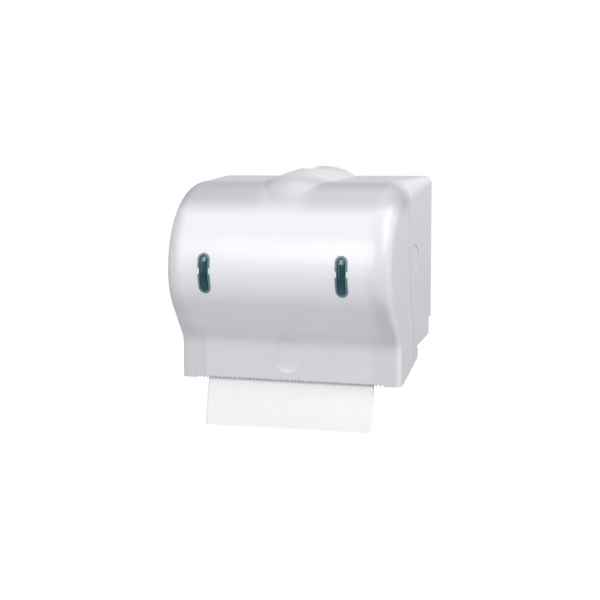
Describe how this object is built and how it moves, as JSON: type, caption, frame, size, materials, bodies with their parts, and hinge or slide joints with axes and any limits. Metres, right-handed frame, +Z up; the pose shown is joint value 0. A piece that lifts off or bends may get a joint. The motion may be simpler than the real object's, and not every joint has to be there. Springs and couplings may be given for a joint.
{
  "type": "roll towel dispenser",
  "caption": "Wall-mounted roll towel dispenser with a drop-down front cover, saw-tooth tearing edge, tinted level windows, sprung roll holder and a lock on top.",
  "frame": {"origin": "centre of the four wall-screw holes, on the wall plane at the housing's back face", "axes": "+Y into the wall, +Z up, +X to the right as seen from the front; the cover faces -Y"},
  "size_m": [0.25, 0.1648, 0.281],
  "materials": {
    "white_shell": "moulded white, satin",
    "white_cover": "pearl white, satin gloss",
    "white_small": "moulded white, satin",
    "teal_rim": "moulded teal, satin",
    "teal_lens": "tinted clear plastic, polished",
    "grey_plastic": "moulded grey, satin",
    "spring_steel": "drawn wire",
    "bar_steel": "ground bar",
    "zinc_screw": "zinc plated",
    "lock_chrome": "plated",
    "lock_brass": "nickel plated, worn",
    "roll_paper": "soft tissue, wound",
    "sheet_paper": "soft tissue, single sheet",
    "core_board": "spiral-wound board"
  },
  "bodies": {
    "housing": {"back_housing": "white_shell", "hinge_pin_left": "white_small", "hinge_pin_right": "white_small", "side_cap_left": "white_small", "side_cap_right": "white_small", "guide_arm_left": "white_small", "guide_arm_right": "white_small", "fixed_hub": "grey_plastic", "hub_post": "grey_plastic", "hub_spring": "spring_steel", "hub_screws": "zinc_screw", "guide_bar": "bar_steel", "guide_bar_clips": "spring_steel", "guide_arm_screws": "zinc_screw", "towel_sheet": "sheet_paper", "lock_body": "lock_chrome", "lock_nut": "zinc_screw"},
    "cover": {"front_cover": "white_cover", "window_bezel_left": "teal_rim", "window_bezel_right": "teal_rim", "window_lens_left": "teal_lens", "window_lens_right": "teal_lens", "window_clip_left": "grey_plastic", "window_clip_right": "grey_plastic", "cover_catch": "zinc_screw", "catch_screws": "zinc_screw"},
    "roll": {"paper_roll": "roll_paper", "roll_core": "core_board"},
    "lock": {"lock_barrel": "lock_brass", "lock_cam": "zinc_screw", "cam_screw": "zinc_screw"},
    "hub": {"sprung_hub": "grey_plastic"}
  },
  "joints": [
    {"name": "cover_hinge", "type": "hinge", "parent": "housing", "child": "cover", "pos_m": [0, -0.058, -0.111], "axis": [1, 0, 0], "range_deg": [0, 70], "deforming": ["towel_sheet"]},
    {"name": "roll_spin", "type": "hinge", "parent": "housing", "child": "roll", "pos_m": [0, -0.064, -0.009], "axis": [1, 0, 0], "continuous": true},
    {"name": "lock_turn", "type": "hinge", "parent": "housing", "child": "lock", "pos_m": [0, -0.04, 0.078], "axis": [0, 0, 1], "range_deg": [0, 90]},
    {"name": "hub_slide", "type": "slide", "parent": "housing", "child": "hub", "axis": [1, 0, 0], "range_m": [0, 0.01], "stiffness_N_per_m": 400, "springref_m": -0.008, "deforming": ["hub_spring"]}
  ]
}
